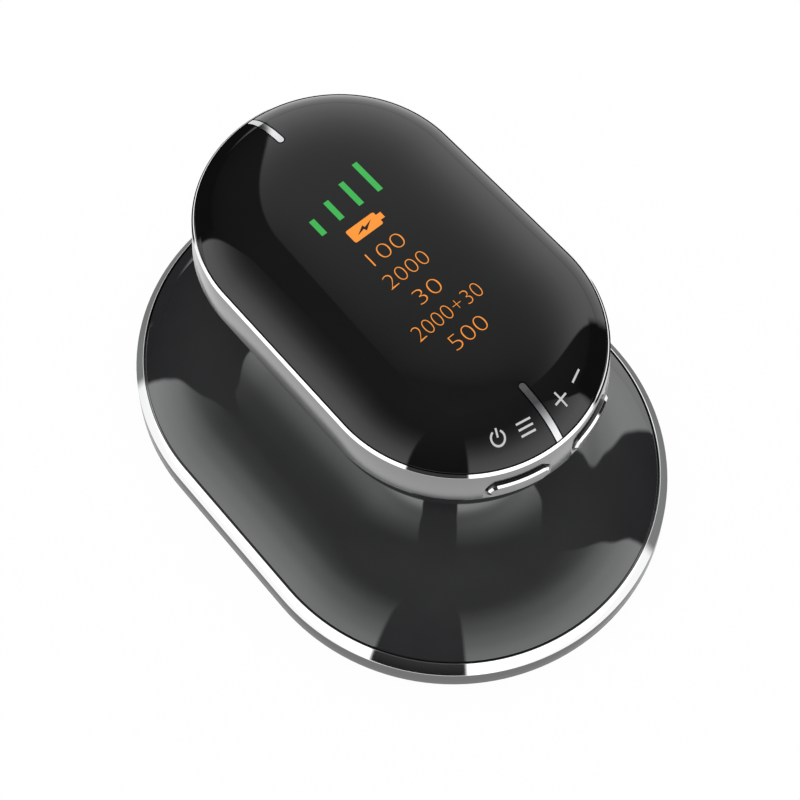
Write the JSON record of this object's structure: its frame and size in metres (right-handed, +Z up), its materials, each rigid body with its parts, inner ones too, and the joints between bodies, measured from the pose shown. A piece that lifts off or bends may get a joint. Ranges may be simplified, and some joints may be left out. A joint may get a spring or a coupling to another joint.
{
  "type": "microcurrent slimming device",
  "caption": "Handheld body care device with an oval dished treatment base, a narrow waist for the fingers and an oval handle with a glossy display cover and rocker keys.",
  "frame": {"origin": "middle of the base, on the plane that the electrodes rest on", "axes": "+X along the device towards its keys, +Z up from the skin side to the display"},
  "size_m": [0.134, 0.0972, 0.0736],
  "materials": {
    "glossy_black": "piano black, polished",
    "graphite_shell": "dark graphite, polished",
    "chrome_trim": "bright plated",
    "satin_silver": "satin foil",
    "stainless_electrode": "polished",
    "black_plastic": "fine matt",
    "frosted_plastic": "frosted, lets light through",
    "circuit_board": "solder mask",
    "ferrite": "dull grey",
    "capacitor_can": "bare can",
    "ribbon": "amber film",
    "silicone": "soft matt",
    "foam": "closed cell foam",
    "battery_wrap": "silver pouch",
    "steel": "plated"
  },
  "bodies": {
    "housing": {"top_panel": "glossy_black", "dish_shell": "graphite_shell", "handle_tray": "graphite_shell", "base_ring": "chrome_trim", "handle_band": "chrome_trim", "front_inlay": "satin_silver", "rear_inlay": "satin_silver", "front_ems_electrode": "stainless_electrode", "rear_ems_electrode": "stainless_electrode", "rf_electrode_1": "stainless_electrode", "rf_electrode_2": "stainless_electrode", "rf_electrode_3": "stainless_electrode", "rf_electrode_4": "stainless_electrode", "base_plate": "black_plastic", "battery_carrier": "black_plastic", "beeper": "black_plastic", "mode_key_holder": "black_plastic", "level_key_holder": "black_plastic", "mode_outer_switch": "black_plastic", "mode_inner_switch": "black_plastic", "level_outer_switch": "black_plastic", "level_inner_switch": "black_plastic", "led_window": "frosted_plastic", "light_guide": "frosted_plastic", "led_board": "circuit_board", "main_board": "circuit_board", "display_board": "circuit_board", "charging_board": "circuit_board", "mode_key_board": "circuit_board", "level_key_board": "circuit_board", "transformer": "ferrite", "inductor": "ferrite", "capacitor": "capacitor_can", "ribbon_cable": "ribbon", "panel_gasket": "silicone", "battery_foam": "foam", "battery_cell": "battery_wrap", "charging_socket": "steel", "mode_key_pin": "steel", "level_key_pin": "steel", "base_screw_1": "steel", "base_screw_2": "steel", "base_screw_3": "steel", "base_screw_4": "steel", "neck_screw_1": "steel", "neck_screw_2": "steel", "neck_screw_3": "steel", "neck_screw_4": "steel", "board_screw_1": "steel", "board_screw_2": "steel", "board_screw_3": "steel", "board_screw_4": "steel"},
    "mode_rocker": {"mode_key": "chrome_trim"},
    "level_rocker": {"level_key": "chrome_trim"},
    "mode_outer_button": {"mode_outer_plunger": "frosted_plastic"},
    "mode_inner_button": {"mode_inner_plunger": "frosted_plastic"},
    "level_outer_button": {"level_outer_plunger": "frosted_plastic"},
    "level_inner_button": {"level_inner_plunger": "frosted_plastic"}
  },
  "joints": [
    {"name": "mode_key_rock", "type": "hinge", "parent": "housing", "child": "mode_rocker", "pos_m": [0.04174, -0.00792, 0.0616], "axis": [0, 0, 1], "range_deg": [-2.5, 2.5], "stiffness_Nm_per_rad": 0.15},
    {"name": "mode_outer_button_travel", "type": "slide", "parent": "housing", "child": "mode_outer_button", "axis": [0.9489, -0.3156, 0], "range_m": [-0.00019, 0.00019]},
    {"name": "mode_inner_button_travel", "type": "slide", "parent": "housing", "child": "mode_inner_button", "axis": [0.9489, -0.3156, 0], "range_m": [-0.00019, 0.00019]},
    {"name": "level_key_rock", "type": "hinge", "parent": "housing", "child": "level_rocker", "pos_m": [0.04174, 0.00792, 0.0616], "axis": [0, 0, 1], "range_deg": [-2.5, 2.5], "stiffness_Nm_per_rad": 0.15},
    {"name": "level_outer_button_travel", "type": "slide", "parent": "housing", "child": "level_outer_button", "axis": [0.9489, 0.3156, 0], "range_m": [-0.00019, 0.00019]},
    {"name": "level_inner_button_travel", "type": "slide", "parent": "housing", "child": "level_inner_button", "axis": [0.9489, 0.3156, 0], "range_m": [-0.00019, 0.00019]}
  ],
  "couplings": [
    {"joint": "mode_outer_button_travel", "follows": "mode_key_rock", "m_per_rad": 0.0042},
    {"joint": "mode_inner_button_travel", "follows": "mode_key_rock", "m_per_rad": -0.0042},
    {"joint": "level_outer_button_travel", "follows": "level_key_rock", "m_per_rad": -0.0042},
    {"joint": "level_inner_button_travel", "follows": "level_key_rock", "m_per_rad": 0.0042}
  ]
}
